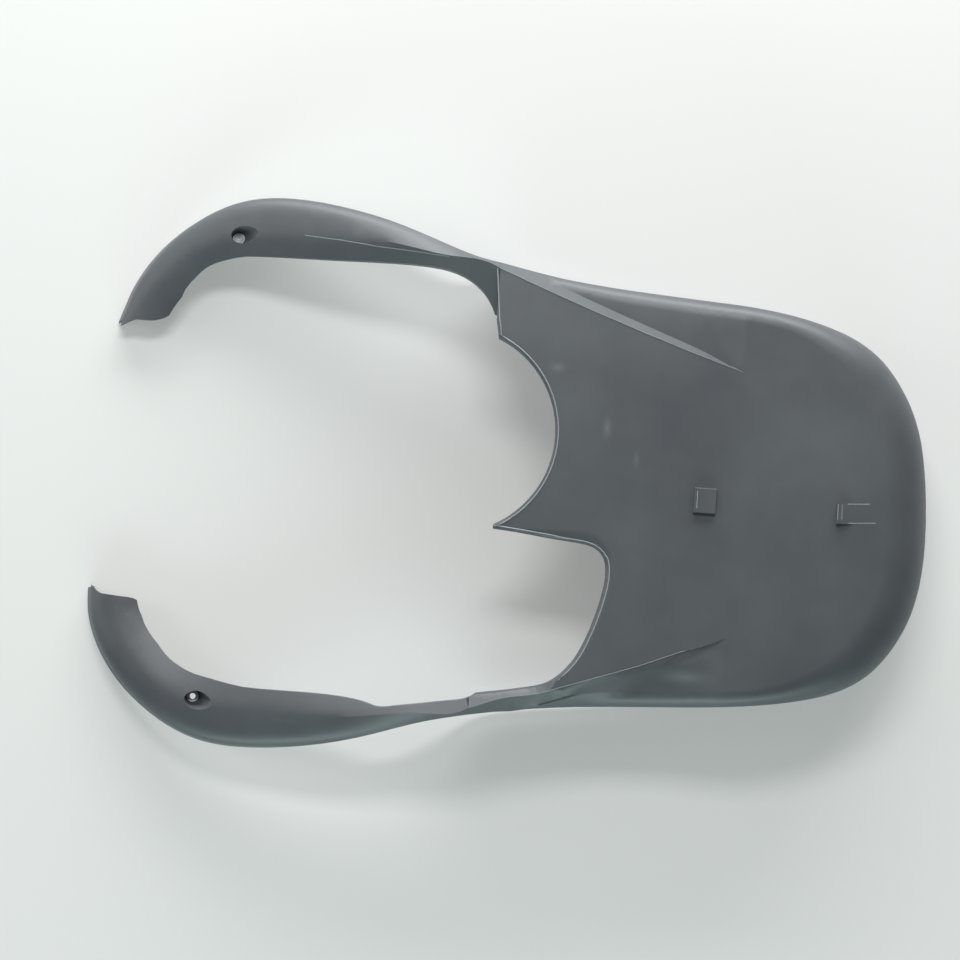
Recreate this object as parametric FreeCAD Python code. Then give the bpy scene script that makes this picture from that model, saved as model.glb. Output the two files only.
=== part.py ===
"""Lower body panel of a scooter: one injection-moulded shell.

The panel lies with its outer (belly) face up. +X runs to the nose, +Y to the left-hand arm and
+Z out of the belly. The origin is under the middle of the panel, at the height of its lowest rim.
The shell is an outer form less the same form drawn one wall further in, trimmed from below.
"""
import FreeCAD, Part
import math
import os

V = FreeCAD.Vector

# Wall, draft and heights
WALL = 2.8
DRAFT = 2.5                # degrees, side walls of the body
PLATE_Z = 90.0             # outer face of the flat plate
ROOT_X = -20.0             # where the arms leave the body

# Half outline of the body at the floor, from beyond the arm root round to the middle of the nose
RIM_HALF = [(-45, 191), (-20, 186), (60, 174.5), (120, 170), (200, 163.5), (250, 155), (283, 144),
            (303, 131), (322, 108.5), (335, 82), (344, 45), (347, 0)]

# Shoulder radius between plate and wall: at the arm root, along the side, round the nose
SHOULDER_ROOT = 8.0
SHOULDER_SIDE = 14.0
SHOULDER_NOSE = 40.0
SIDE_FROM_X = 120.0        # from here the radius has its side value,
SIDE_TO_X = 200.0          # from here it grows again,
NOSE_FROM_X = 322.0        # and from here it has its nose value
SHOULDER_STEPS = 5         # facets across the shoulder of the hidden inner face

# Creases: the plate stands above the side facets along two lines that meet the arms
CREASE_ROOT_Y = 176.5
CREASE_END = (180.0, 107.0)
CREASE_SAG = 2.0
CREASE_ANGLE = 40.0        # degrees of the step from upright
CREASE_STEP = 12.0         # height of the step at the arm root
FACET_DROPS = [(0.28, 11.0), (0.65, 8.5), (0.87, 4.6)]  # top of the side facets: share of the way, drop from the plate
FACET_RUN_OUT = 4.0        # the side facets reach this far past the end of the creases

# Arms: stations from root to tip
# (outer x, y at the floor), (inner x, y), distance of the ridge from the outer point, ridge height,
# distance and drop of the shoulder, drop of the inner edge, roundness of the section
ARM_STATIONS = [
    ((-60, 197), (-58, 158), 12.5, 85, 3.5, 9, 15, 0.15),
    ((-105, 214.5), (-103, 168), 22, 76, 4, 11, 11, 0.4),
    ((-145, 226.5), (-145, 170), 30, 66, 5, 12, 8, 0.7),
    ((-190, 233.5), (-188, 171), 35, 54, 5, 13, 7, 0.9),
    ((-241, 229), (-226, 171), 31, 43, 5, 13, 7, 1.0),
    ((-288, 202.5), (-258, 163.5), 23, 34, 5, 12, 6, 1.0),
    ((-315, 173), (-274, 144.5), 22, 28, 5, 11, 6, 1.0),
    ((-329, 147), (-281, 130), 22, 24, 4.5, 10, 6, 1.0),
    ((-336, 118), (-287, 110), 22, 21, 4.5, 9, 6, 1.0),
    ((-345, 87), (-293, 85), 24, 19, 4.5, 9, 6, 1.0),
]
ROOT_FLANK = 36.0          # width of the inner flank at the root
ROOT_FLANK_DROP = 19.5
BROW_FACETS = 3            # facets across the shoulder of an arm's hidden inner face
LOW_ARM_REACH = 1.03       # the arm on the -Y side is this much longer
LOW_ARM_SPREAD = 0.98      # and this much nearer the middle
LOW_ARM_SETTLED = 170.0    # from this distance off the root on

# Opening between the arms: inner edge of the +Y arm from tip to root, then the plate's left edge
UPPER_EDGE = [(-350, 116), (-335, 119.3), (-322, 121.8), (-309, 122), (-298.5, 126.3), (-290.5, 134),
              (-277.7, 155), (-263, 170), (-245, 177), (-220, 178.9), (-145, 178), (-80, 176.5),
              (-58, 173), (-42, 166), (-30, 155.5), (-22.5, 143), (-18.4, 128.4), (-16.5, 114)]
LOWER_EDGE = [(-8, -158.5), (-14.5, -164), (-18, -167), (-22.5, -169.6), (-28, -171.2), (-40, -173.2),
              (-62, -177.2), (-80, -180.3), (-89, -181.9), (-94.5, -181.8), (-101, -180), (-110, -178),
              (-122, -176.6), (-158, -175.7), (-208.5, -175.8), (-234, -173), (-251.5, -168.7),
              (-266, -163), (-278.2, -153.4), (-287.7, -140.8), (-294, -128), (-299, -118.4),
              (-306, -112.6), (-316, -109.8), (-332, -108.5), (-348.6, -104.6), (-362, -98)]
PRONG_X = -11.0            # blunt end of the prong between the two notches
ROUND_NOTCH = (-49.1, 44.3, 82.6)      # centre and radius
# x, y and the width of the rolled edge, from the prong round the corner to the -Y arm
SQUARE_NOTCH = [(-30, -31.4, 1.5), (-11, -32.6, 1.6), (7, -33.9, 3), (26, -36, 6), (45, -38, 9),
                (60, -39.3, 11), (69, -41.2, 10.5), (76, -45.3, 9), (80.3, -52, 7), (81.8, -60, 6),
                (79, -84, 5), (69, -116, 5), (61.5, -131.5, 4.5), (53, -142.5, 3), (41, -152, 2),
                (24, -157.3, 1.5), (-3.6, -162.7, 1.5), (-30, -167.8, 1.5)]

# Rolled edges of the plate along the two notches
SQUARE_ROLL_DEPTH = 4.0
ROUND_ROLL = (2.2, 2.0)    # width and depth
ROLL_FACETS = 4
ROLL_OVERRUN = 0.3         # the last facet runs on by this share, to leave the plate cleanly

# Heights of the outer rim and of the lip's lower edge along X, as (x, z)
RIM_HEIGHT = [(-420, 0), (-330, 0), (-288, 4), (-241, 10), (-190, 19), (-145, 27), (-105, 33), (-60, 34),
              (-20, 12), (20, 7), (120, 6), (240, 4), (310, 0), (420, 0)]
LIP_HEIGHT = [(-420, 4), (-341, 12), (-315, 16), (-288, 23), (-241, 32), (-190, 43), (-145, 53),
              (-105, 61), (-60, 68), (-22, 69)]
# Lower edge of the lip across Y where the opening cuts the plate, as (y, z)
PLATE_LIP = [(-200, 76), (-160, 79), (-60, 80), (-34, 82), (0, 85), (60, 86), (114, 82), (128, 77), (156, 70),
             (200, 69)]
LIP_BAND = 2.0             # the lip trim reaches this far behind the lip

# Screw pockets in the arms: mouth centre, depth of the floor below the skin height
ARM_POCKETS = [(-234.3, 195.5, 42.0), (-242.9, -189.4, 41.0)]
MOUTH = (9.9, 7.0)         # half axes of the mouth
OVAL_POINTS = 12
POCKET_SHIFT = (-4.3, 2.3)             # floor from the mouth: along X, and toward the middle
POCKET_DEPTH = 10.0
POCKET_FLOOR_R = 5.2
POCKET_WALL = 2.2
SCREW_HOLE_R = 3.3
SPACER_DROP = 8.0          # spacer below the pocket floor

# Screw pockets in the body sides
SIDE_POCKET = (216.0, 67.0, 10.0)      # x, z and radius
SIDE_POCKET_FLOOR_Y = 133.0
SIDE_SCREW_R = 2.8

# Raised details of the plate
PAD = (156.6, 2.0, 18.0, 20.0, 3.5)    # centre, length, width and height
RAMP = (263.6, 297.0, -0.5, 16.0, 4.0) # from x, to x, centre y, width, height

FLOOR = -20.0              # below everything
CEILING = 150.0            # above everything
FAR = 440.0                # beyond the panel on all sides


def lerp(a, b, t):
    return a + (b - a) * t


def spline(points, z=0.0):
    """Smooth curve through plan points at one height."""
    curve = Part.BSplineCurve()
    curve.interpolate([V(x, y, z) for x, y in points])
    return curve


def full_outline(inset, z, further=lambda x: 0.0):
    """Points of the body outline at height z, drawn in by inset, from +Y root to -Y root.

    A further draw is given as a function of the place along the body.
    """
    half = []
    last = len(RIM_HALF) - 1
    for i, (x, y) in enumerate(RIM_HALF):
        drawn_in = inset + z * math.tan(math.radians(DRAFT)) + further(x)
        before = RIM_HALF[max(i - 1, 0)]
        after = RIM_HALF[i + 1] if i < last else (RIM_HALF[i - 1][0], -RIM_HALF[i - 1][1])
        tx, ty = after[0] - before[0], after[1] - before[1]
        length = math.hypot(tx, ty)
        half.append((x + ty / length * drawn_in, y - tx / length * drawn_in))
    return half + [(x, -y) for x, y in reversed(half[:-1])]


def crease_points():
    """Root, middle and end of the +Y crease line at plate height."""
    root = (ROOT_X, CREASE_ROOT_Y)
    dx, dy = CREASE_END[0] - root[0], CREASE_END[1] - root[1]
    length = math.hypot(dx, dy)
    mid = (root[0] + dx / 2 + dy / length * CREASE_SAG, root[1] + dy / 2 - dx / length * CREASE_SAG)
    return root, mid, CREASE_END


def outline_mark(x):
    """Number of the outline point that lies nearest to a place along the body."""
    return min(range(len(RIM_HALF)), key=lambda i: abs(RIM_HALF[i][0] - x))


def wall_loft(inset, z_low, z_high):
    """Drafted solid inside the body outline, with its left end at the arm root."""
    wires = []
    for z in (z_low, z_high):
        points = full_outline(inset, z)
        curve = spline(points, z)
        cuts = [outline_mark(x) for x in (SIDE_FROM_X, SIDE_TO_X, NOSE_FROM_X)]
        marks = cuts + [len(points) - 1 - i for i in reversed(cuts)]
        params = [curve.FirstParameter] + [curve.parameter(V(*points[i], z)) for i in marks]
        params.append(curve.LastParameter)
        edges = [curve.toShape(a, b) for a, b in zip(params, params[1:])]
        start, end = V(*points[0], z), V(*points[-1], z)
        edges.append(Part.makeLine(end, start))
        wires.append(Part.Wire(edges))
    return Part.makeLoft(wires, True, True)


def side_profile(points_top, z_low, x_left, x_right, half_width=FAR):
    """Prism across Y under a smooth top line given as (x, z) points that ends level at x_right."""
    curve = Part.BSplineCurve()
    curve.interpolate(Points=[V(x, -half_width, z) for x, z in points_top],
                      Tangents=[V(1, 0, 0)] * len(points_top),
                      TangentFlags=[False] * (len(points_top) - 1) + [True])
    end = curve.value(curve.LastParameter)
    start = curve.value(curve.FirstParameter)
    far_top = V(x_right, -half_width, end.z)
    far_low = V(x_right, -half_width, z_low)
    near_low = V(x_left, -half_width, z_low)
    near_top = V(x_left, -half_width, start.z)
    edges = [curve.toShape(), Part.makeLine(end, far_top), Part.makeLine(far_top, far_low),
             Part.makeLine(far_low, near_low), Part.makeLine(near_low, near_top)]
    if near_top.distanceToPoint(start) > 1e-6:
        edges.append(Part.makeLine(near_top, start))
    return Part.Face(Part.Wire(edges)).extrude(V(0, 2 * half_width, 0))


def fillet_by_radii(solid, radii):
    """Fillet with its own two radii on each edge: a list of (edge number from 1, first, last)."""
    document = FreeCAD.newDocument("rounding")
    base = document.addObject("Part::Feature", "base")
    base.Shape = solid
    rounded = document.addObject("Part::Fillet", "rounded")
    rounded.Base = base
    rounded.Edges = radii
    document.recompute()
    result = rounded.Shape.copy()
    FreeCAD.closeDocument(document.Name)
    return result


def shoulder_radius(x):
    """Shoulder radius of the outer form at a place along the body."""
    stops = [(ROOT_X, SHOULDER_ROOT), (SIDE_FROM_X, SHOULDER_SIDE), (SIDE_TO_X, SHOULDER_SIDE),
             (NOSE_FROM_X, SHOULDER_NOSE)]
    for (x0, r0), (x1, r1) in zip(stops, stops[1:]):
        if x < x1:
            return lerp(r0, r1, max(x - x0, 0.0) / (x1 - x0))
    return SHOULDER_NOSE


def facet_line(inset):
    """Top of the side facets, as (x, z), from the arm root to where they run out in the plate."""
    top = PLATE_Z - inset
    left = ROOT_X + inset
    end = CREASE_END[0] + FACET_RUN_OUT
    middle = [(lerp(left, end, share), top - drop) for share, drop in FACET_DROPS]
    return [(left, top - CREASE_STEP)] + middle + [(end, top)]


def height_at(line, x):
    """Height of a line of (x, z) points."""
    for (x0, z0), (x1, z1) in zip(line, line[1:]):
        if x < x1:
            return lerp(z0, z1, max(x - x0, 0.0) / (x1 - x0))
    return line[-1][1]


def stepped_block(inset, low):
    """Hidden inner form of the body: facets that stay inside the round shoulder."""
    top = PLATE_Z - inset
    line = facet_line(inset)
    radius = SHOULDER_NOSE - inset
    turns = [math.pi / 2 * k / SHOULDER_STEPS for k in range(SHOULDER_STEPS + 1)]
    wires = []
    for z in [low] + [top - radius + radius * math.sin(turn) for turn in turns]:
        def run(x):
            local = shoulder_radius(x) - inset
            rise = min(max(z - height_at(line, x) + local, 0.0), local)
            return local - math.sqrt(local ** 2 - rise ** 2)
        points = full_outline(inset, z, run)
        curve = spline(points, z).toShape()
        wires.append(Part.Wire([curve, Part.makeLine(V(*points[-1], z), V(*points[0], z))]))
    return Part.makeLoft(wires, True, True)


def tray(walls, inset, low):
    """Body below the creases, with its rounded shoulders."""
    top = PLATE_Z - inset
    under = side_profile(facet_line(inset), low - 1, ROOT_X + inset, FAR)
    if inset:
        return stepped_block(inset, low).common(under).Solids[0]
    block = walls.common(under).Solids[0]
    radii = []
    for i, edge in enumerate(block.Edges, 1):
        ends = [edge.valueAt(edge.FirstParameter), edge.valueAt(edge.LastParameter)]
        ends.sort(key=lambda p: -math.atan2(p.y, p.x + FAR))
        first, last = ends
        along_side = min(first.z, last.z) > top - CREASE_STEP - 1 and abs(first.y) > 1
        crosses = abs(first.x - last.x) < 0.01 and edge.Curve.TypeId == "Part::GeomLine"
        if along_side and not crosses:
            radii.append((i, shoulder_radius(first.x), shoulder_radius(last.x)))
    return fillet_by_radii(block, radii)


def step_inset(inset):
    """Plan distance by which the crease line moves when the form is drawn in."""
    angle = math.radians(CREASE_ANGLE)
    return inset / math.cos(angle) - inset * math.tan(angle)


def blade(walls, inset):
    """Raised middle of the plate between the two creases, with its drafted steps."""
    top = PLATE_Z - inset
    depth = CREASE_STEP + 10
    flare = math.tan(math.radians(CREASE_ANGLE))
    root, mid, end = crease_points()
    wires = []
    for z in (top - depth, top):
        out = (top - z) * flare - step_inset(inset)
        points = [(x, y + out) for x, y in (root, mid, end)]
        corners = [V(x, y, z) for x, y in points]
        mirrored = [V(x, -y, z) for x, y in points]
        upper = Part.Arc(*corners).toShape()
        lower = Part.Arc(*reversed(mirrored)).toShape()
        nose = Part.makeLine(corners[-1], mirrored[-1])
        back = Part.makeLine(mirrored[0], corners[0])
        wires.append(Part.Wire([upper, nose, lower, back]))
    raised = Part.makeLoft(wires, True, True)
    left = ROOT_X + inset
    room = Part.makeBox(FAR, 2 * FAR, CEILING - FLOOR, V(left, -FAR, FLOOR))
    return raised.common(walls).common(room).Solids[0]


def root_profile(walls, inset, low):
    """Section of an arm where it leaves the body, as (y, z) from the outer base to the inner edge."""
    left = ROOT_X + inset
    outer = [v.Point for w in walls.slice(V(1, 0, 0), left) for v in w.Vertexes if v.Point.y > 0]
    base = min(outer, key=lambda p: p.z)
    tip = max(outer, key=lambda p: p.z)
    lean = (tip.y - base.y) / (tip.z - base.z)
    flare = math.tan(math.radians(CREASE_ANGLE))
    top = PLATE_Z - inset
    (x0, y0), (x1, y1), _ = crease_points()
    ridge_y = y0 + (y1 - y0) / (x1 - x0) * (left - x0) - step_inset(inset)
    shoulder_z = (base.y - lean * base.z - ridge_y - flare * top) / (-lean - flare)
    shoulder = (base.y + lean * (shoulder_z - base.z), shoulder_z)
    inner = (ridge_y - ROOT_FLANK, top - ROOT_FLANK_DROP)
    return [(base.y, base.z), shoulder, (ridge_y, top), inner]


def drawn_in(profile, inset):
    """The open profile of (s, z) points moved into the material by inset."""
    lines = []
    for (s0, z0), (s1, z1) in zip(profile, profile[1:]):
        length = math.hypot(s1 - s0, z1 - z0)
        ns, nz = (z1 - z0) / length, -(s1 - s0) / length
        lines.append((s0 + ns * inset, z0 + nz * inset, s1 - s0, z1 - z0))
    moved = [lines[0][:2]]
    for (s0, z0, ds0, dz0), (s1, z1, ds1, dz1) in zip(lines, lines[1:]):
        t = ((s1 - s0) * dz1 - (z1 - z0) * ds1) / (ds0 * dz1 - dz0 * ds1)
        moved.append((s0 + ds0 * t, z0 + dz0 * t))
    s_end, z_end, ds, dz = lines[-1]
    moved.append((s_end + ds, z_end + dz))
    return moved


def unit(a, b):
    step = b - a
    return step / step.Length


def blend(a, b, t):
    mixed = a * (1 - t) + b * t
    return mixed / mixed.Length


def arm_wire(base, shoulder, ridge, inner, low, roundness, faceted):
    """Closed arm section: outer wall, rounded shoulder, inner flank and a straight base.

    The hidden inner form has a faceted shoulder.
    """
    through = unit(inner, shoulder)
    down = unit(shoulder, base)
    at_ridge_in = blend(unit(inner, ridge), through, roundness)
    at_ridge_out = blend(unit(ridge, shoulder), through, roundness)
    at_shoulder = blend(unit(ridge, shoulder), down, roundness)
    grip = (ridge - inner).Length / 3
    flank = Part.BezierCurve()
    flank.setPoles([inner, inner + unit(inner, ridge) * grip, ridge - at_ridge_in * grip, ridge])
    grip = (shoulder - ridge).Length / 3
    brow = Part.BezierCurve()
    brow.setPoles([ridge, ridge + at_ridge_out * grip, shoulder - at_shoulder * grip, shoulder])
    brow_edges = [brow.toShape()]
    if faceted:
        corners = [brow.value(k / BROW_FACETS) for k in range(BROW_FACETS + 1)]
        brow_edges = [Part.makeLine(a, b) for a, b in zip(corners, corners[1:])]
    base_outer = V(base.x, base.y, low)
    base_inner = V(inner.x, inner.y, low)
    return Part.Wire([Part.makeLine(base_inner, inner), flank.toShape(), *brow_edges,
                      Part.makeLine(shoulder, base_outer), Part.makeLine(base_outer, base_inner)])


def placed(point, side):
    """Station point of the +Y arm, or of the longer -Y arm before it is mirrored."""
    x, y = point
    if side > 0:
        return x, y
    share = min(1.0, (ROOT_X - x) / LOW_ARM_SETTLED)
    return ROOT_X + (x - ROOT_X) * LOW_ARM_REACH, y * (1 - (1 - LOW_ARM_SPREAD) * share)


def arm(walls, inset, low, side):
    """An arm, lofted through its stations from the root to beyond its tip."""
    left = ROOT_X + inset
    profile = root_profile(walls, inset, low)
    points = [V(left, y, z) for y, z in profile]
    faceted = inset > 0
    wires = [arm_wire(*points, low, 0.0, faceted)]
    for outer, inner, ridge_in, ridge_z, brow_in, brow_drop, flank_drop, roundness in ARM_STATIONS:
        outer, inner = placed(outer, side), placed(inner, side)
        across = V(inner[0] - outer[0], inner[1] - outer[1], 0)
        width = across.Length
        across = across / width
        profile = [(0, 0), (brow_in, ridge_z - brow_drop), (ridge_in, ridge_z),
                   (width, ridge_z - flank_drop)]
        if inset:
            profile = drawn_in(profile, inset)
        points = [V(*outer, 0) + across * s + V(0, 0, z) for s, z in profile]
        wires.append(arm_wire(*points, low, roundness, faceted))
    loft = Part.makeLoft(wires, True, False)
    return loft if side > 0 else loft.mirror(V(0, 0, 0), V(0, 1, 0))


def moved_out(points, grow, share=0.0):
    """Plan points moved to the left of their travel, by grow and a share of their own third value."""
    moved = []
    for i, (x, y, *width) in enumerate(points):
        before, after = points[max(i - 1, 0)], points[min(i + 1, len(points) - 1)]
        tx, ty = after[0] - before[0], after[1] - before[1]
        length = math.hypot(tx, ty)
        step = grow + share * sum(width)
        moved.append((x - ty / length * step, y + tx / length * step))
    return moved


def prism(edges, low=FLOOR - 5, high=CEILING):
    """Upright prism inside plan edges, given in order and joined by straight lines."""
    closed = []
    for edge, after in zip(edges, edges[1:] + edges[:1]):
        closed.append(edge)
        end = edge.valueAt(edge.LastParameter)
        start = after.valueAt(after.FirstParameter)
        if end.distanceToPoint(start) > 1e-6:
            closed.append(Part.makeLine(end, start))
    face = Part.Face(Part.Wire(closed))
    face.translate(V(0, 0, low))
    return face.extrude(V(0, 0, high - low))


def roll_steps(top, depth):
    """Rolled edge as (z, share of its width), from below everything to above everything."""
    turns = [math.pi / 2 * k / ROLL_FACETS for k in range(ROLL_FACETS + 1)]
    steps = [(top - depth + depth * math.sin(turn), 1 - math.cos(turn)) for turn in turns]
    (z0, share0), (z1, share1) = steps[-2:]
    steps[-1] = (z1 + (z1 - z0) * ROLL_OVERRUN, share1 + (share1 - share0) * ROLL_OVERRUN)
    return [(FLOOR - 5, 0.0)] + steps + [(CEILING, steps[-1][1])]


def square_notch(grow, top):
    """Cutter of the square notch, widened by grow, with a rolled edge at the height top."""
    wires = []
    for z, share in roll_steps(top, SQUARE_ROLL_DEPTH):
        points = moved_out(SQUARE_NOTCH, grow, share)
        closing = Part.makeLine(V(*points[-1], z), V(*points[0], z))
        wires.append(Part.Wire([spline(points, z).toShape(), closing]))
    return Part.makeLoft(wires, True, True)


def round_notch(grow, top):
    """Cutter of the round notch, made the same way."""
    x, y, radius = ROUND_NOTCH
    width, depth = ROUND_ROLL
    steps = roll_steps(top, depth)
    profile = [V(x + radius + grow + share * width, y, z) for z, share in steps]
    profile += [V(x, y, steps[-1][0]), V(x, y, steps[0][0])]
    return Part.Face(Part.makePolygon(profile + profile[:1])).revolve(V(x, y, 0), V(0, 0, 1), 360)


def opening(grow, top):
    """Everything between the arms with the two notches, widened by grow."""
    upper = spline(moved_out(UPPER_EDGE, grow)).toShape()
    lower = spline(moved_out(LOWER_EDGE, grow)).toShape()
    prong_x = PRONG_X + grow
    prong = Part.makeLine(V(prong_x, UPPER_EDGE[-1][1], 0), V(prong_x, LOWER_EDGE[0][1], 0))
    far = Part.makeLine(V(-FAR, LOWER_EDGE[-1][1], 0), V(-FAR, UPPER_EDGE[0][1], 0))
    gap = prism([upper, prong, lower, far])
    return gap.fuse((round_notch(grow, top), square_notch(grow, top)))


def form(inset):
    """Outer form of the moulding drawn in by inset, with the opening widened by inset."""
    low = FLOOR if inset else 0.0
    walls = wall_loft(inset, low, PLATE_Z + 5)
    solid = tray(walls, inset, low)
    others = (blade(walls, inset), arm(walls, inset, low, 1), arm(walls, inset, low, -1))
    solid = solid.fuse(others, 0.005).removeSplitter()
    return solid.cut(opening(inset, PLATE_Z - inset))


def trimmed_shell(outer, inner):
    """The shell between both forms, with its rim and the lip round the opening cut to height."""
    shell = outer.cut(inner)
    shell = shell.cut(side_profile(RIM_HEIGHT, FLOOR - 5, -FAR, FAR))
    lips = opening(WALL + LIP_BAND, PLATE_Z - WALL - LIP_BAND)
    under_arm_lips = side_profile(LIP_HEIGHT, FLOOR - 5, -FAR, ROOT_X + WALL)
    line = [V(ROOT_X, y, z) for y, z in PLATE_LIP]
    low_corners = [V(ROOT_X, line[-1].y, FLOOR), V(ROOT_X, line[0].y, FLOOR)]
    under_plate_lips = Part.Face(Part.makePolygon(line + low_corners + line[:1])).extrude(V(FAR, 0, 0))
    return shell.cut(lips.common(under_arm_lips)).cut(lips.common(under_plate_lips))


def oval(centre, half_x, half_y):
    """Smooth closed curve near an ellipse."""
    turns = [math.tau * k / OVAL_POINTS for k in range(OVAL_POINTS)]
    curve = Part.BSplineCurve()
    curve.interpolate(Points=[centre + V(half_x * math.cos(t), half_y * math.sin(t), 0) for t in turns],
                      PeriodicFlag=True)
    return Part.Wire([curve.toShape()])


def slanted_cone(x, y, z, side, grow, below=0.0):
    """Oval pocket round a slanted axis, from above the skin to its round floor."""
    above = 8.0
    floor_at = POCKET_DEPTH + below
    wires = []
    for down in (-above, floor_at):
        t = down / POCKET_DEPTH
        half_x = lerp(MOUTH[0], POCKET_FLOOR_R, t) + grow
        half_y = lerp(MOUTH[1], POCKET_FLOOR_R, t) + grow
        centre = V(x + POCKET_SHIFT[0] * t, y - side * POCKET_SHIFT[1] * t, z - down)
        wires.append(oval(centre, half_x, half_y))
    return Part.makeLoft(wires, True, True)


def with_arm_pockets(shell, outer):
    """Sunk screw pockets in the arms, each with a spacer under its floor."""
    for x, y, z in ARM_POCKETS:
        side = 1 if y > 0 else -1
        floor = V(x + POCKET_SHIFT[0], y - side * POCKET_SHIFT[1], z - POCKET_DEPTH)
        boss = slanted_cone(x, y, z, side, POCKET_WALL, POCKET_WALL).common(outer)
        spacer = Part.makeCylinder(SCREW_HOLE_R + POCKET_WALL, SPACER_DROP, floor - V(0, 0, SPACER_DROP))
        shell = shell.fuse((boss, spacer)).cut(slanted_cone(x, y, z, side, 0.0))
        shell = shell.cut(Part.makeCylinder(SCREW_HOLE_R, 2 * SPACER_DROP, floor - V(0, 0, 1.5 * SPACER_DROP)))
    return shell


def with_side_pockets(shell, outer):
    """Screw cups in both sides of the body, their screws along Y."""
    x, z, radius = SIDE_POCKET
    reach = 60.0
    for side in (1, -1):
        along = V(0, side, 0)
        floor = V(x, side * SIDE_POCKET_FLOOR_Y, z)
        cup = Part.makeCylinder(radius + POCKET_WALL, reach, floor - along * POCKET_WALL, along)
        hollow = Part.makeCylinder(radius, reach, floor, along)
        screw = Part.makeCylinder(SIDE_SCREW_R, reach, floor - along * 4 * POCKET_WALL, along)
        shell = shell.fuse(cup.common(outer)).cut(hollow).cut(screw)
    return shell


def with_plate_details(shell, inner):
    """Small pad in the middle of the plate and the ramp that runs out on the nose."""
    x, y, length, width, height = PAD
    pad = Part.makeBox(length, width, height + WALL, V(x - length / 2, y - width / 2, PLATE_Z - WALL))
    x0, x1, y, width, height = RAMP
    corners = [V(x0, y - width / 2, PLATE_Z - WALL), V(x0, y - width / 2, PLATE_Z + height),
               V(x1, y - width / 2, PLATE_Z - 2 * WALL)]
    ramp = Part.Face(Part.makePolygon(corners + corners[:1])).extrude(V(0, width, 0))
    return shell.fuse((pad, ramp.cut(inner)))


def panel():
    """The whole moulding, moved so that the origin is under its middle."""
    outer = form(0.0)
    inner = form(WALL)
    shell = trimmed_shell(outer, inner)
    shell = with_arm_pockets(shell, outer)
    shell = with_side_pockets(shell, outer)
    shell = with_plate_details(shell, inner)
    solid = shell.Solids[0]
    box = solid.optimalBoundingBox(False, False)
    middle = box.Center
    move = V(-middle.x, -middle.y, -box.ZMin)
    solid.translate(move)
    return solid, move


if __name__ == "__main__":
    os.makedirs("parts", exist_ok=True)
    solid, move = panel()
    print("valid", solid.isValid(), "volume", round(solid.Volume), "moved by", move)
    solid.exportStep("parts/lower_body_panel.step")
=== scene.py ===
"""Finish, stage and lights of the scooter lower body panel, laid belly up on a pale floor."""
import math

import bmesh
import bpy
from bpy.props import FloatProperty, FloatVectorProperty, PointerProperty
from mathutils import Matrix, Vector
from mathutils.bvhtree import BVHTree


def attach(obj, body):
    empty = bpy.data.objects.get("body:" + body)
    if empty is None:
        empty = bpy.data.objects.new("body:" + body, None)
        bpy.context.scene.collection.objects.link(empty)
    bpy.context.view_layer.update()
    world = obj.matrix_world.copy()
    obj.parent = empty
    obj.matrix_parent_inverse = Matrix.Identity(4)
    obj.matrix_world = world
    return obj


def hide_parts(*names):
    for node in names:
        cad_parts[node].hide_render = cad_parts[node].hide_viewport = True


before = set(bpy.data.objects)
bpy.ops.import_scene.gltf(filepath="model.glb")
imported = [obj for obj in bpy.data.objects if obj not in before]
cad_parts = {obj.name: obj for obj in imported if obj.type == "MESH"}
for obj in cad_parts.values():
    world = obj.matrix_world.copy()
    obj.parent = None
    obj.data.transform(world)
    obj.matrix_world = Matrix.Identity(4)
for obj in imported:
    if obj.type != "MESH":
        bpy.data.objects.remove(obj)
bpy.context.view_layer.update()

bl_info = {
    "name": "Scooter lower body panel",
    "version": (1, 0, 0),
    "blender": (4, 5, 0),
    "location": "View3D > Sidebar > Body panel",
    "description": "Builds the moulded panel's surface finish, its pale stage and its lights",
    "category": "Object",
}

NODE = "lower_body_panel"
MM = 0.001

PLATE = 90 * MM                 # height of the flat plate
PLATE_FROM_X = -20.7 * MM       # its rear edge

# Copy of the solid: points within the first distance become one. Shorter edges than the second
# are dropped, and a point that near to a cutting plane lies on it.
MERGED = 0.01 * MM
TOUCHING = 0.001 * MM
# Cuts along X, in mm, that give the arms and the -Y root enough points to be shaped by
CUTS = (*range(-342, -227, 6), *range(-18, 55, 6))

# Shallow run-out where the side facets end in the plate: half width, reach in X, lowest point
RUN_OUT_HALF = 114 * MM
RUN_OUT_X = (176 * MM, 190 * MM)
RUN_OUT_LOW = 88.6 * MM

# The -Y crease in plan, from the arm root to its end in the plate, and how far it sags inward
CREASE_LINE = ((-20.6 * MM, -178.8 * MM), (179.4 * MM, -109.3 * MM))
CREASE_SAG = 2.1 * MM
# How far it is bowed outward, the shares of its length over which the bow grows and fades, and
# the distances out from it over which the bow fades
CREASE_BOW = 5.5 * MM
BOW_GROWS = (0.1, 0.3)
BOW_FADES = (0.6, 1.0)
BOW_FADES_OUT = (10 * MM, 16.5 * MM)
# How far the facet beside it is raised, and the same for the rise
FACET_RISE = 5 * MM
RISE_GROWS = (0.2, 0.45)
RISE_FADES = (0.8, 1.0)
RISE_GROWS_OUT = (0.4 * MM, 4 * MM)
RISE_FADES_OUT = (12 * MM, 26 * MM)
# Points that bow and rise move: above, beyond in -Y, and from just inside the crease, up to a top
FACET_LOW = 66 * MM
FACET_FROM_Y = -95 * MM
FACET_MARGIN = 0.5 * MM
FACET_TOP = PLATE - 1 * MM

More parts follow.
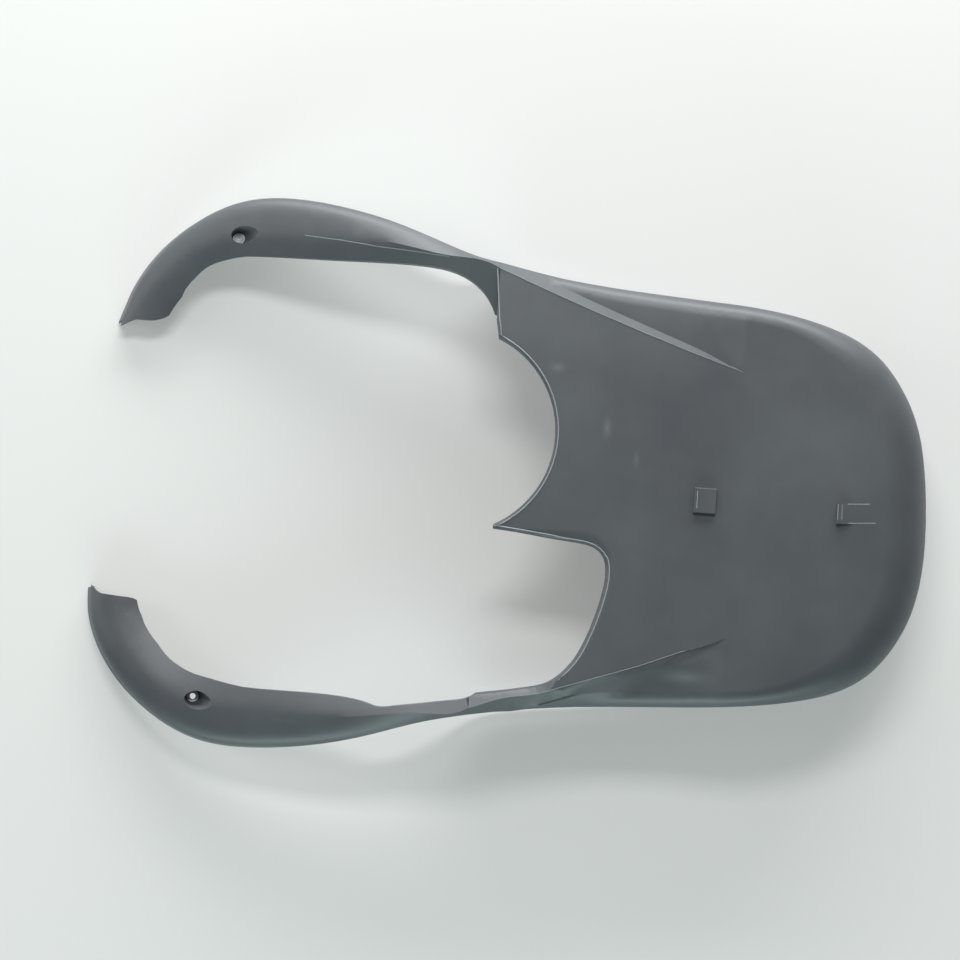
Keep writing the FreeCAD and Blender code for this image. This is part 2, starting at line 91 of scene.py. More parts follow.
# Sloped strip at the -Y root: start, reach in X over which it fades, fall per width, width, and
# the points that it moves, above and beyond in -Y
FLANGE_FROM_X = -21.0 * MM
FLANGE_FADES = (15 * MM, 50 * MM)
FLANGE_SLOPE = 0.54
FLANGE_WIDTH = 11 * MM
FLANGE_LOW = 60 * MM
FLANGE_FROM_Y = -135 * MM

# Nose corner that is drawn in: where that grows in X and in Y, and the share across the panel
# with where it grows in Y
NOSE_GROWS_X = (200 * MM, 330 * MM)
NOSE_GROWS_Y = (-90 * MM, 50 * MM)
NOSE_ACROSS = 0.4
NOSE_ACROSS_GROWS_Y = (50 * MM, 120 * MM)

# Places of the arms that are drawn to their moulded outline, in mm: x, y, shift in x and y,
# reach in x and y
ARM_SHIFTS = (
    (-334, 120, -3.2, -5.4, 13, 13),
    (-299, 127, 4.0, -1.0, 24, 20),
    (-291, 139, 4.4, -0.3, 18, 12),
    (-280, 149, 0.6, 0.0, 13, 11),
    (-275, 158, 1.4, -1.0, 24, 20),
    (-255, 174, 0.8, -1.4, 28, 16),
    (-344, -112, 0.0, 6.2, 11, 13),
    (-306, -116, 4.2, 1.2, 14, 12),
    (-301, -125, 4.6, 0.0, 18, 14),
    (-297, -134, 4.2, 0.2, 24, 20),
    (-283, -151, 3.2, 1.0, 24, 20),
    (-266, -165, 2.6, 1.4, 24, 18),
    (-236, -176, 0.8, 1.6, 34, 14),
)
# The -Y tip's end face in plan, in mm, from its outer lower corner to its upper one, and the
# points that are brought to it, by x, y and height
LOW_TIP = ((-346.4, -107.3), (-340.0, -105.3))
LOW_TIP_TO_X = -340.6
LOW_TIP_FROM_Y = -110
LOW_TIP_TOP = 13

# Edges of the pad and the ramp that are rounded: least rise over the plate, least angle in
# radians, and width of the rounding
PAD_RISE = 1.2 * MM
PAD_FOLD = 0.5
PAD_ROUND = 0.7 * MM

# Level faces: least z of the normal, least area
LEVEL_NORMAL = 0.99995
LEVEL_AREA = 4 * MM * MM

# Border of the opening, on the plate: up to x, between y, from just inside the -Y crease, above
FACING_UP = 0.35                # least z of the normal of a face that isn't a rim's side
OPENING_TO_X = 90 * MM
OPENING_Y = (-150 * MM, 167 * MM)
OPENING_MARGIN = 1 * MM
BORDER_LOW = 86 * MM
# Folds of the creases: least height, and on the +Y side the least y and angle in radians, on
# the -Y side the most distance from the crease and the least angle
FOLD_LOW = 88 * MM
HIGH_FOLD_FROM_Y = 100 * MM
HIGH_FOLD = 0.6
LOW_FOLD_REACH = 1.5 * MM
LOW_FOLD = 0.2

# Runs of beads: ends that meet within the first are joined, shorter runs are left out, and
# points along them are at least a step apart
JOIN_REACH = 2 * MM
SHORTEST_BEAD = 12 * MM
BEAD_STEP = 1.5 * MM
CREASE_STEP = 3 * MM
BEAD_RESOLUTION = 2
LOOK_FROM = 0.2                 # height from which the skin is looked for, straight down

# Thin lines that lie on the skin, by points of the plan in mm: painted bright highlights, and soft
# ones
BRIGHT_LINES = (
    ((262.1, 4.6), (262.5, -7.8)),
    ((265.5, 4.8), (265.9, -7.6)),
    ((149.3, 9.5), (149.6, -6.9)),
)
SOFT_LINES = (
    ((-182.3, 194.1), (-152.6, 191.3), (-119.6, 187.2), (-90.4, 184.6), (-62.5, 181.6)),
    ((270.1, 5.0), (287.9, 6.4)),
    ((271.1, -10.1), (293.7, -8.5)),
)
LINE_STEP = 4                   # mm between the points that are laid on the skin
LINE_GAP = 0.5 * MM             # points nearer than this are one
BRIGHT_SINK = 0.5               # depth of a line's middle below the skin, as a share of its radius
SOFT_SINK = 0.6

# Screw bushings in the arms' pockets: centre of the hole, then radius and drop of each ring
# in mm
BUSHINGS = (
    ((-239.2 * MM, 190.9 * MM, 32 * MM), ((4.3, 0.0), (2.9, 0.9), (1.5, 1.8))),
    ((-247.8 * MM, -189.4 * MM, 31 * MM), ((4.3, 0.0), (3.2, 0.9))),
)
RING_TUBE = 0.8 * MM
RING_POINTS = 24

# Paler spots: centre, half axes, strength; the first three rubbed, the last two painted highlights
SCUFFS_AND_HIGHLIGHTS = (
    ((74 * MM, 52 * MM, PLATE), (6 * MM, 15 * MM, 12 * MM), 0.3),
    ((99 * MM, 29 * MM, PLATE), (4 * MM, 12 * MM, 12 * MM), 0.2),
    ((31 * MM, 98 * MM, PLATE), (11 * MM, 7 * MM, 12 * MM), 0.28),
    # Painted highlights: one on the -Y facet beside the crease, one along the -Y arm
    ((150 * MM, -142 * MM, 84 * MM), (34 * MM, 10 * MM, 20 * MM), 0.45),
    ((-160 * MM, -202 * MM, 40 * MM), (30 * MM, 4 * MM, 30 * MM), 0.5),
)
# Flow clouds in the plastic: number in a metre, noise that starts and ends their tint, its
# strongest share, and how far they lower and raise the roughness
CLOUDS = 9.0
CLOUD_DETAIL = 4.0
CLOUD_RANGE = (0.3, 0.75)
CLOUD_TINT = 0.16
CLOUD_GLOSS = (-0.05, 0.07)
GRAIN_DETAIL = 2.0
NOISE_ROUGHNESS = 0.6
PLASTIC_IOR = 1.5

FLOOR_ROUGHNESS = 0.85
FLOOR_SPECULAR = 0.2
# Lamps: place, aim and size, in metres
LAMPS = {
    "key": ((0.1, 2.4, 0.75), (0.0, 0.0, 0.08), (3.0, 0.9)),
    "high": ((-0.1, 1.1, 1.5), (-0.1, 0.0, 0.0), (0.9, 0.3)),
    "fill": ((-0.1, -2.2, 0.6), (0.0, 0.0, 0.05), (3.0, 0.6)),
    "rear": ((-2.3, 0.3, 0.5), (0.0, 0.0, 0.09), (0.8, 2.4)),
}


def linear(red, green, blue):
    """Scene colour of an sRGB colour given from 0 to 255."""
    values = [v / 255 for v in (red, green, blue)]
    return tuple(v / 12.92 if v <= 0.04045 else ((v + 0.055) / 1.055) ** 2.4 for v in values)


class PANEL_PG_finish(bpy.types.PropertyGroup):
    """Moulded surface of the panel."""
    color: FloatVectorProperty(
        name="Plastic", description="Colour of the moulded plastic",
        subtype="COLOR", size=3, min=0, max=1, default=linear(66, 70, 74))
    # Also paints the highlight spots on the -Y facet and the -Y arm paler
    scuff_and_highlight_color: FloatVectorProperty(
        name="Scuffs and highlights", description="Colour of the scuffed spots, the painted highlight spots and the flow clouds",
        subtype="COLOR", size=3, min=0, max=1, default=linear(128, 134, 134))
    # Painted highlight: the beads along the opening and the bright lines on pad and ramp are this
    # paler colour
    rim_color: FloatVectorProperty(
        name="Painted highlights", description="Colour of the beads and bright lines, painted paler as highlights",
        subtype="COLOR", size=3, min=0, max=1, default=linear(138, 144, 146))
    # Painted soft highlight: a little paler than the plastic, along the creases, the +Y arm's
    # ridge and the ramp's sides
    crease_highlight_color: FloatVectorProperty(
        name="Crease line", description="Colour of the thin line along the creases",
        subtype="COLOR", size=3, min=0, max=1, default=linear(98, 104, 107))
    bushing_color: FloatVectorProperty(
        name="Bushings", description="Colour of the screw bushings in the arms' pockets",
        subtype="COLOR", size=3, min=0, max=1, default=linear(196, 201, 202))
    roughness: FloatProperty(
        name="Roughness", description="Roughness of the matt plastic", subtype="FACTOR",
        default=0.46, min=0, max=1)
    grain: FloatProperty(
        name="Grain size", description="Size of one dimple of the moulded grain", unit="LENGTH",
        default=0.7 * MM)
    grain_depth: FloatProperty(
        name="Grain depth", description="Depth of the moulded grain", unit="LENGTH",
        default=0.05 * MM, precision=5)
    smooth_angle: FloatProperty(
        name="Smooth up to", description="Faces that meet at less than this angle shade as one",
        subtype="ANGLE", default=math.radians(26))
    bead_offset: FloatProperty(
        name="Bead offset", description="From the edge of the opening in to the bead along it",
        unit="LENGTH", default=2.3 * MM)
    bead_radius: FloatProperty(
        name="Bead radius", description="Half width of the beads along the opening",
        unit="LENGTH", default=0.5 * MM, precision=5)
    crease_radius: FloatProperty(
        name="Crease bead radius", description="Half width of the thin line along the creases",
        unit="LENGTH", default=0.35 * MM, precision=5)
    soft_radius: FloatProperty(
        name="Soft line radius", description="Radius of the low ridge lines, sunk in the skin",
        unit="LENGTH", default=0.65 * MM, precision=5)
    nose_trim: FloatProperty(
        name="Nose trim", description="How much the +Y corner of the nose is drawn in",
        unit="LENGTH", default=4.5 * MM)


class PANEL_PG_stage(bpy.types.PropertyGroup):
    """Floor, lamps and camera."""
    floor_color: FloatVectorProperty(
        name="Floor", description="Colour of the pale floor",
        subtype="COLOR", size=3, min=0, max=1, default=linear(219, 221, 219))
    floor_size: FloatProperty(
        name="Floor size", description="Side of the square floor", unit="LENGTH", default=6.0)
    floor_lift: FloatProperty(
        name="Shadow lift", description="Share of the floor's own colour that shadows keep",
        subtype="FACTOR", default=0.34, min=0, max=1)
    key_power: FloatProperty(
        name="Key lamp", description="Power of the large low lamp on the +Y side",
        unit="POWER", default=116.0)
    high_power: FloatProperty(
        name="High lamp", description="Power of the small high lamp that casts the arms' shadows",
        unit="POWER", default=18.0)
    fill_power: FloatProperty(
        name="Fill lamp", description="Power of the weak low lamp on the -Y side",
        unit="POWER", default=46.0)
    rear_power: FloatProperty(
        name="Rear lamp", description="Power of the weak low lamp behind the arm tips",
        unit="POWER", default=20.0)
    fill_color: FloatVectorProperty(
        name="Fill tint", description="Colour of the weak low lamp on the -Y side",
        subtype="COLOR", size=3, min=0, max=1, default=linear(228, 252, 250))
    sky: FloatProperty(
        name="Sky", description="Strength of the even light from all round", default=0.16, min=0)
    lens: FloatProperty(
        name="Lens", description="Focal length", unit="CAMERA", default=80.6)
    distance: FloatProperty(
        name="Distance", description="From the camera to the plate", unit="LENGTH", default=1.72)
    tilt: FloatProperty(
        name="Tilt", description="Lean of the line of sight toward -Y",
        subtype="ANGLE", default=math.radians(2.5))
    roll: FloatProperty(
        name="Roll", description="Turn of the picture", subtype="ANGLE",
        default=math.radians(4.2))
    aim: FloatVectorProperty(
        name="Aim", description="Point of the plate in the middle of the picture",
        subtype="TRANSLATION", size=3, default=(-0.02464, 0.00308, 0.09))


def node(tree, kind, **settings):
    """A new shader node with its sockets and options set."""
    made = tree.nodes.new(kind)
    for name, value in settings.items():
        if name in made.inputs:
            made.inputs[name].default_value = value
        else:
            setattr(made, name, value)
    return made


def tinted(tree, base, tint, amount):
    """Socket of a colour that takes on a tint by the amount from another socket."""
    mixed = node(tree, "ShaderNodeMix", data_type="RGBA", B=(*tint, 1))
    if isinstance(base, bpy.types.NodeSocket):
        tree.links.new(base, mixed.inputs["A"])
    else:
        mixed.inputs["A"].default_value = (*base, 1)
    tree.links.new(amount, mixed.inputs["Factor"])
    return mixed.outputs["Result"]


def moulded_plastic(name, finish, color):
    """Matt grained plastic with faint flow clouds, rubbed spots and painted highlight spots."""
    material = bpy.data.materials.new(name)
    material.use_nodes = True
    tree = material.node_tree
    shader = tree.nodes["Principled BSDF"]
    link = tree.links.new
    place = node(tree, "ShaderNodeTexCoord").outputs["Object"]

    clouds = node(tree, "ShaderNodeTexNoise", Scale=CLOUDS, Detail=CLOUD_DETAIL,
                  Roughness=NOISE_ROUGHNESS)
    link(place, clouds.inputs["Vector"])
    paler = node(tree, "ShaderNodeMapRange", **{
        "From Min": CLOUD_RANGE[0], "From Max": CLOUD_RANGE[1], "To Max": CLOUD_TINT})
    link(clouds.outputs["Fac"], paler.inputs["Value"])
    surface = tinted(tree, color, finish.scuff_and_highlight_color, paler.outputs["Result"])

    # Rubbed spots, and spots painted paler as highlights
    for centre, reach, strength in SCUFFS_AND_HIGHLIGHTS:
        stretch = node(tree, "ShaderNodeMapping", vector_type="TEXTURE", Location=centre,
                       Scale=reach)
        link(place, stretch.inputs["Vector"])
        spot = node(tree, "ShaderNodeTexGradient", gradient_type="QUADRATIC_SPHERE")
        link(stretch.outputs["Vector"], spot.inputs["Vector"])
        scuff_and_highlight_share = node(tree, "ShaderNodeMath", operation="MULTIPLY")
        scuff_and_highlight_share.inputs[1].default_value = strength
        link(spot.outputs["Fac"], scuff_and_highlight_share.inputs[0])
        surface = tinted(tree, surface, finish.scuff_and_highlight_color, scuff_and_highlight_share.outputs[0])
    link(surface, shader.inputs["Base Color"])

    grain = node(tree, "ShaderNodeTexNoise", Scale=1 / finish.grain, Detail=GRAIN_DETAIL,
                 Roughness=NOISE_ROUGHNESS)
    link(place, grain.inputs["Vector"])
    bump = node(tree, "ShaderNodeBump", Strength=1.0, Distance=finish.grain_depth)
    link(grain.outputs["Fac"], bump.inputs["Height"])
    link(bump.outputs["Normal"], shader.inputs["Normal"])

    gloss = node(tree, "ShaderNodeMapRange", **{
        "To Min": finish.roughness + CLOUD_GLOSS[0], "To Max": finish.roughness + CLOUD_GLOSS[1]})
    link(clouds.outputs["Fac"], gloss.inputs["Value"])
    link(gloss.outputs["Result"], shader.inputs["Roughness"])
    shader.inputs["IOR"].default_value = PLASTIC_IOR
    return material


def ease(value, start, end):
    """Smooth step from 0 at start to 1 at end."""
    t = min(max((value - start) / (end - start), 0.0), 1.0)
    return t * t * (3 - 2 * t)


def along_crease(x):
    """Share of the -Y crease's length at a place along the panel, below 0 before the crease."""
    (x0, _), (x1, _) = CREASE_LINE
    return (x - x0) / (x1 - x0)


def crease_y(x):
    """Place of the -Y crease across the panel, as it is in the solid."""
    (_, y0), (_, y1) = CREASE_LINE
    along = min(max(along_crease(x), 0.0), 1.0)
    return y0 + (y1 - y0) * along + 4 * CREASE_SAG * along * (1 - along)


def bow(x):
    """How far the -Y crease is moved outward at a place along the panel."""
    along = along_crease(x)
    return CREASE_BOW * ease(along, *BOW_GROWS) * (1 - ease(along, *BOW_FADES))


def close_run_out(bm):
    """Level the shallow run-out where the side facets end in the plate."""
    start, end = RUN_OUT_X
    for vert in bm.verts:
        x, y, z = vert.co
        if abs(y) < RUN_OUT_HALF and start < x < end and RUN_OUT_LOW < z < PLATE:
            vert.co.z = PLATE


def shape_low_crease(bm):
    """Bow the -Y crease outward and raise the facet along it on both skins, for a low step."""
    for vert in bm.verts:
        x, y, z = vert.co
        out = crease_y(x) - y
        if out > -FACET_MARGIN and z > FACET_LOW and y < FACET_FROM_Y:
            along = along_crease(x)
            share = ease(along, *RISE_GROWS) * (1 - ease(along, *RISE_FADES))
            near = ease(out, *RISE_GROWS_OUT) * (1 - ease(out, *RISE_FADES_OUT))
            vert.co.z = max(z, min(z + FACET_RISE * share * near, FACET_TOP))
            vert.co.y -= bow(x) * (1 - ease(out, *BOW_FADES_OUT))


def slope_root_flange(bm):
    """Slope the narrow strip between the -Y crease and the notch, like the arm's flank."""
    for vert in bm.verts:
        x, y, z = vert.co
        inward = y - crease_y(x) + bow(x)
        if y < FLANGE_FROM_Y and z > FLANGE_LOW and x > FLANGE_FROM_X and inward > 0:
            fade = 1 - ease(x, *FLANGE_FADES)
            vert.co.z -= FLANGE_SLOPE * min(inward, FLANGE_WIDTH) * fade


def trim_nose(bm, trim):
    """Draw the +Y corner of the nose in, as the moulding is a little skew there."""
    for vert in bm.verts:
        share = ease(vert.co.x, *NOSE_GROWS_X) * ease(vert.co.y, *NOSE_GROWS_Y)
        vert.co.x -= trim * share
        vert.co.y -= NOSE_ACROSS * trim * share * ease(vert.co.y, *NOSE_ACROSS_GROWS_Y)


def shift_arms(bm):
    """Draw the arms' tips and inner edges to their moulded outline, both skins alike."""
    for vert in bm.verts:
        total = Vector((0, 0, 0))
        weight = 0
        for x, y, shift_x, shift_y, reach_x, reach_y in ARM_SHIFTS:
            away = math.hypot((vert.co.x / MM - x) / reach_x, (vert.co.y / MM - y) / reach_y)
            if away < 1:
                share = (1 - away * away) ** 2
                total += share * MM * Vector((shift_x, shift_y, 0))
                weight += share
        vert.co += total / max(weight, 1)


def square_low_tip(bm):
    """Bring the -Y tip's end face out to the line between its two corners."""
    (x0, y0), (x1, y1) = LOW_TIP
    for vert in bm.verts:
        x, y, z = vert.co / MM
        if x < LOW_TIP_TO_X and y > LOW_TIP_FROM_Y and z < LOW_TIP_TOP:
            vert.co.y = max(y, y0 + (y1 - y0) * (x - x0) / (x1 - x0)) * MM


def round_pad(bm):
    """Round the upper edges of the pad and of the ramp."""
    raised = [edge for edge in bm.edges
              if all(vert.co.z > PLATE + PAD_RISE for vert in edge.verts)
              and edge.is_manifold and edge.calc_face_angle() > PAD_FOLD]
    bmesh.ops.bevel(bm, geom=raised, offset=PAD_ROUND, offset_type="OFFSET", segments=2,
                    profile=0.5, affect="EDGES", clamp_overlap=True, material=-1)


def keep_level_normals(mesh, smooth_angle):
    """Shade level faces as level up to their borders, where rounded faces run into them."""
    level = set()
    for face in mesh.polygons:
        if face.normal.z > LEVEL_NORMAL and face.area > LEVEL_AREA:
            level.update(face.vertices)
    normals = [corner.vector.copy() for corner in mesh.corner_normals]
    for face in mesh.polygons:
        if face.normal.z > math.cos(smooth_angle):
            for corner, vert in zip(face.loop_indices, face.vertices):
                if vert in level:
                    normals[corner] = Vector((0, 0, 1))
    mesh.normals_split_custom_set(normals)


class PANEL_OT_moulding(bpy.types.Operator):
    """Make the moulded panel from a merged copy of its solid"""
    bl_idname = "body_panel.moulding"
    bl_label = "Moulded panel"

    def execute(self, context):
        finish = context.scene.panel_finish
        bm = bmesh.new()
        bm.from_mesh(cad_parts[NODE].data)
        bmesh.ops.remove_doubles(bm, verts=bm.verts, dist=MERGED)
        bmesh.ops.dissolve_degenerate(bm, edges=bm.edges, dist=TOUCHING)
        for cut in CUTS:
            bmesh.ops.bisect_plane(bm, geom=bm.verts[:] + bm.edges[:] + bm.faces[:],
                                   dist=TOUCHING, plane_co=(cut * MM, 0, 0), plane_no=(1, 0, 0))
        close_run_out(bm)
        shape_low_crease(bm)
        slope_root_flange(bm)
        trim_nose(bm, finish.nose_trim)
        shift_arms(bm)
        square_low_tip(bm)
        round_pad(bm)
        for face in bm.faces:
            face.smooth = True
        for edge in bm.edges:
            edge.smooth = edge.is_manifold and edge.calc_face_angle() < finish.smooth_angle
        mesh = bpy.data.meshes.new("panel_shell")
        bm.to_mesh(mesh)
        bm.free()
        piece = bpy.data.objects.new("panel_shell", mesh)
        context.scene.collection.objects.link(piece)
        keep_level_normals(mesh, finish.smooth_angle)
        mesh.materials.append(moulded_plastic("moulded_plastic", finish, finish.color))
        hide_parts(NODE)
        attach(piece, "root")
        return {"FINISHED"}


def opening_side(point):
    """Whether a place on the plate lies at the notches or at the plate's rear edge."""
    start, end = OPENING_Y
    return (point.x < OPENING_TO_X and start < point.y < end
            and point.y > crease_y(point.x) - OPENING_MARGIN)


def border_and_folds(bm):
    """Edges of the shell along the opening's border, and along the folds of the creases."""
    border, folds = [], []
    for edge in bm.edges:
        if not edge.is_manifold or any(vert.co.x < PLATE_FROM_X for vert in edge.verts):
            continue
        low, high = sorted(face.normal.z for face in edge.link_faces)
        middle = (edge.verts[0].co + edge.verts[1].co) / 2
        if abs(low) < FACING_UP < high and middle.z > BORDER_LOW and opening_side(middle):
            border.append(edge)
        if low > FACING_UP and min(vert.co.z for vert in edge.verts) > FOLD_LOW:
            fold = edge.calc_face_angle()
            away = abs(crease_y(middle.x) - bow(middle.x) - middle.y)
            if ((middle.y > HIGH_FOLD_FROM_Y and fold > HIGH_FOLD)
                    or (away < LOW_FOLD_REACH and fold > LOW_FOLD)):
                folds.append(edge)
    return border, folds


def meeting(run, others):
    """The first other run that has an end at an end of this one, with both ends' indices."""
    for other in others:
        for mine, theirs in ((-1, 0), (-1, -1), (0, -1), (0, 0)):
            if (run[mine] - other[theirs]).length < JOIN_REACH:
                return other, mine, theirs
    return None


def joined(runs):
    """The runs, with those put together whose ends meet."""
    done = []
    while runs:
        run = runs.pop()
        while found := meeting(run, runs):
            other, mine, theirs = found
            runs.remove(other)
            if mine == 0:
                run.reverse()
            run += other if theirs == 0 else other[::-1]
        done.append(run)
    return done


def chains(edges):
    """Runs of points along neighbouring edges."""
    ways = {}
    for edge in edges:
        for vert in edge.verts:
            ways.setdefault(vert, []).append(edge)
    left = set(edges)
    runs = []
    ends = [vert for vert, met in ways.items() if len(met) != 2]
    for start in ends + list(ways):
        for first in ways[start]:
            if first not in left:
                continue
            run, vert, edge = [start], start, first
            while edge:
                left.discard(edge)
                vert = edge.other_vert(vert)
                run.append(vert)
                onward = [way for way in ways[vert] if way in left]
                edge = onward[0] if len(ways[vert]) == 2 and onward else None
            runs.append([vert.co.copy() for vert in run])
    return joined(runs)


def length(run):
    """Length of a run."""
    return sum((b - a).length for a, b in zip(run, run[1:]))


def long_enough(runs):
    """The runs that are long enough to read as a line."""
    return [run for run in runs if length(run) > SHORTEST_BEAD]


def thin_out(run, step):
    """The run without points closer than the step."""
    kept = [run[0]]
    for point in run[1:]:
        if (point - kept[-1]).length > step:
            kept.append(point)
    return kept


def on_surface(tree, point):
    """The skin under a point of the plan."""
    return tree.ray_cast(Vector((point.x, point.y, LOOK_FROM)), Vector((0, 0, -1)))[0]


def moved_onto_skin(tree, run, offset):
    """A run along an edge of the opening, moved over the skin by the offset and laid on it."""
    moved = []
    for i, point in enumerate(run):
        along = run[min(i + 1, len(run) - 1)] - run[max(i - 1, 0)]
        side = Vector((-along.y, along.x, 0)).normalized()
        hits = [on_surface(tree, point + way * offset) for way in (side, -side)]
        hits = [hit for hit in hits if hit and abs(hit.z - point.z) < 2 * offset]
        if hits:
            moved.append(min(hits, key=lambda hit: abs(hit.z - point.z)))
    return moved


def laid_line(tree, points, sink):
    """A line through points of the plan, laid on the skin and sunk in it by that much."""
    run = []
    for (x0, y0), (x1, y1) in zip(points, points[1:]):
        steps = max(int(math.hypot(x1 - x0, y1 - y0) / LINE_STEP), 1)
        for k in range(steps + 1):
            share = k / steps
            x, y = x0 + (x1 - x0) * share, y0 + (y1 - y0) * share
            hit = on_surface(tree, Vector((x, y, 0)) * MM)
            if hit and (not run or (hit - run[-1]).length > LINE_GAP):
                run.append(hit - Vector((0, 0, sink)))
    return run


def ring(centre, radius, drop):
    """A closed circle of points round a screw hole."""
    turns = [2 * math.pi * k / RING_POINTS for k in range(RING_POINTS + 1)]
    return [Vector(centre) + Vector((radius * math.cos(turn), radius * math.sin(turn), -drop))
            for turn in turns]


def swept(name, runs, radius):
    """Mesh of round beads along runs of points."""
    data = bpy.data.curves.new(name, "CURVE")
    data.dimensions = "3D"
    data.bevel_depth = radius
    data.bevel_resolution = BEAD_RESOLUTION
    data.use_fill_caps = True
    for run in runs:
        spline = data.splines.new("POLY")
        spline.points.add(len(run) - 1)
        for place, point in zip(spline.points, run):
            place.co = (*point, 1)
    curve = bpy.data.objects.new(name, data)
    mesh = bpy.data.meshes.new_from_object(curve)
    bpy.data.objects.remove(curve)
    return mesh


class PANEL_OT_rims(bpy.types.Operator):
    """Run beads along the opening, thin lines on creases, pad and arm, and the bushing rings"""
    bl_idname = "body_panel.rims"
    bl_label = "Rims"

    def execute(self, context):
        finish = context.scene.panel_finish
        bm = bmesh.new()
        bm.from_mesh(bpy.data.objects["panel_shell"].data)
        tree = BVHTree.FromBMesh(bm)
        border, folds = border_and_folds(bm)
        beads = long_enough(moved_onto_skin(tree, thin_out(run, BEAD_STEP), finish.bead_offset)
                            for run in chains(border))
        creases = long_enough(thin_out(run, CREASE_STEP) for run in chains(folds))
        bm.free()
        bright = [laid_line(tree, points, BRIGHT_SINK * finish.crease_radius)
                  for points in BRIGHT_LINES]
        faint = [laid_line(tree, points, SOFT_SINK * finish.soft_radius)
                 for points in SOFT_LINES]
        rings = [ring(centre, radius * MM, drop * MM)
                 for centre, steps in BUSHINGS for radius, drop in steps]
        # Painted highlights: the opening beads and bright lines are paler, the crease and soft
        # lines a little paler
        highlight_material = moulded_plastic("highlight_plastic", finish, finish.rim_color)
        soft = moulded_plastic("soft_highlight_plastic", finish, finish.crease_highlight_color)
        pale = moulded_plastic("bushing_plastic", finish, finish.bushing_color)
        for name, runs, radius, material in (
                ("opening_beads", beads, finish.bead_radius, highlight_material),
                ("crease_lines", creases, finish.crease_radius, soft),
                ("bright_lines", bright, finish.crease_radius, highlight_material),
                ("soft_lines", faint, finish.soft_radius, soft),
                ("screw_bushings", rings, RING_TUBE, pale)):
            if not runs:
                raise RuntimeError("no run found for " + name)
            mesh = swept(name, runs, radius)
            piece = bpy.data.objects.new(name, mesh)
            context.scene.collection.objects.link(piece)
            for face in mesh.polygons:
                face.use_smooth = True
            mesh.materials.append(material)
            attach(piece, "root")
        return {"FINISHED"}


def pale_floor(stage):
    """Matt floor whose shadows keep a share of its colour where the camera sees them."""
    material = bpy.data.materials.new("pale_floor")
    material.use_nodes = True
    tree = material.node_tree
    link = tree.links.new
    color = (*stage.floor_color, 1)
    shader = tree.nodes["Principled BSDF"]
    shader.inputs["Base Color"].default_value = color
    shader.inputs["Roughness"].default_value = FLOOR_ROUGHNESS
    shader.inputs["Specular IOR Level"].default_value = FLOOR_SPECULAR
    glow = node(tree, "ShaderNodeEmission", Color=color, Strength=1.0)
    rays = node(tree, "ShaderNodeLightPath")
    share = node(tree, "ShaderNodeMath", operation="MULTIPLY")
    share.inputs[1].default_value = stage.floor_lift
    link(rays.outputs["Is Camera Ray"], share.inputs[0])
    mixed = node(tree, "ShaderNodeMixShader")
    link(share.outputs[0], mixed.inputs["Fac"])
    link(shader.outputs["BSDF"], mixed.inputs[1])
    link(glow.outputs["Emission"], mixed.inputs[2])
    link(mixed.outputs["Shader"], tree.nodes["Material Output"].inputs["Surface"])
    return material


def area_lamp(context, name, power):
    """Hang one of the lamps, turned to its aim, and give its light."""
    where, target, size = LAMPS[name]
    data = bpy.data.lights.new(name, "AREA")
    data.shape = "RECTANGLE"
    data.size, data.size_y = size
    data.energy = power
    lamp = bpy.data.objects.new(name, data)
    lamp.location = where
    lamp.rotation_euler = (Vector(target) - Vector(where)).to_track_quat("-Z", "Y").to_euler()
    context.scene.collection.objects.link(lamp)
    return data


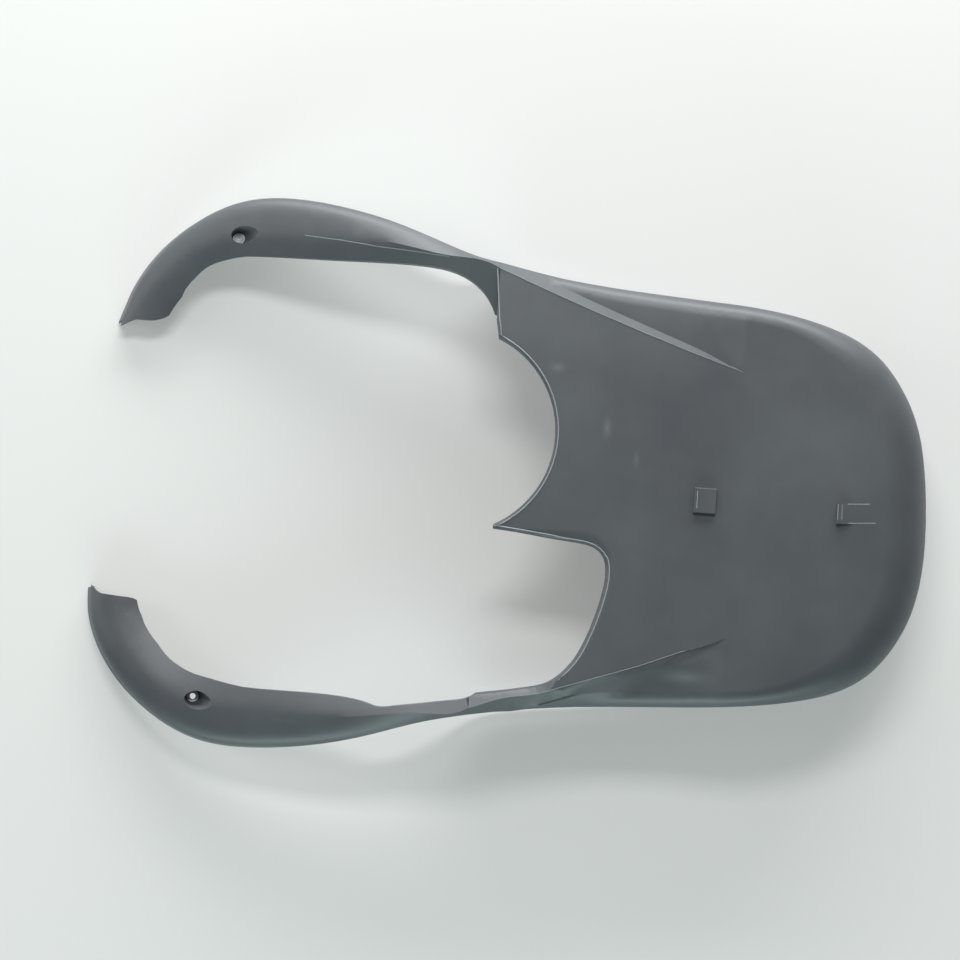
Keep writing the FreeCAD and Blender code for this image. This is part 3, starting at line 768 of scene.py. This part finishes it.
class PANEL_OT_stage(bpy.types.Operator):
    """Lay a pale floor under the panel and set the lamps and the camera"""
    bl_idname = "body_panel.stage"
    bl_label = "Stage"

    def floor(self, context, stage):
        bm = bmesh.new()
        bmesh.ops.create_grid(bm, x_segments=1, y_segments=1, size=stage.floor_size / 2)
        mesh = bpy.data.meshes.new("floor")
        bm.to_mesh(mesh)
        bm.free()
        floor = bpy.data.objects.new("floor", mesh)
        context.scene.collection.objects.link(floor)
        mesh.materials.append(pale_floor(stage))

    def lamps(self, context, stage):
        area_lamp(context, "key", stage.key_power)
        area_lamp(context, "high", stage.high_power)
        area_lamp(context, "fill", stage.fill_power).color = stage.fill_color
        area_lamp(context, "rear", stage.rear_power)
        world = bpy.data.worlds.new("sky")
        world.use_nodes = True
        light = world.node_tree.nodes["Background"]
        light.inputs["Color"].default_value = (1, 1, 1, 1)
        light.inputs["Strength"].default_value = stage.sky
        context.scene.world = world

    def camera(self, context, stage):
        data = bpy.data.cameras.new("camera")
        data.lens = stage.lens
        camera = bpy.data.objects.new("camera", data)
        back = Vector((0, -math.sin(stage.tilt), math.cos(stage.tilt)))
        ahead = Vector((0, math.cos(stage.tilt), math.sin(stage.tilt)))
        across = Vector((1, 0, 0))
        right = across * math.cos(stage.roll) + ahead * math.sin(stage.roll)
        up = ahead * math.cos(stage.roll) - across * math.sin(stage.roll)
        turn = Matrix((right, up, back)).transposed().to_4x4()
        camera.matrix_world = Matrix.Translation(Vector(stage.aim) + back * stage.distance) @ turn
        context.scene.collection.objects.link(camera)
        context.scene.camera = camera

    def execute(self, context):
        stage = context.scene.panel_stage
        self.floor(context, stage)
        self.lamps(context, stage)
        self.camera(context, stage)
        context.scene.view_settings.view_transform = "Standard"
        return {"FINISHED"}


class PANEL_PT_sidebar(bpy.types.Panel):
    """Lists the sizes and colours, and the steps that build the panel"""
    bl_label = "Body panel"
    bl_idname = "PANEL_PT_sidebar"
    bl_space_type = "VIEW_3D"
    bl_region_type = "UI"
    bl_category = "Body panel"

    def draw(self, context):
        layout = self.layout
        for settings in (context.scene.panel_finish, context.scene.panel_stage):
            for name in settings.__annotations__:
                layout.prop(settings, name)
        for operator in (PANEL_OT_moulding, PANEL_OT_rims, PANEL_OT_stage):
            layout.operator(operator.bl_idname)


CLASSES = (PANEL_PG_finish, PANEL_PG_stage, PANEL_OT_moulding, PANEL_OT_rims, PANEL_OT_stage,
           PANEL_PT_sidebar)


def register():
    for cls in CLASSES:
        bpy.utils.register_class(cls)
    bpy.types.Scene.panel_finish = PointerProperty(type=PANEL_PG_finish)
    bpy.types.Scene.panel_stage = PointerProperty(type=PANEL_PG_stage)


def unregister():
    del bpy.types.Scene.panel_finish
    del bpy.types.Scene.panel_stage
    for cls in reversed(CLASSES):
        bpy.utils.unregister_class(cls)


def main():
    register()
    bpy.ops.body_panel.moulding()
    bpy.ops.body_panel.rims()
    bpy.ops.body_panel.stage()


if __name__ == "__main__":
    main()
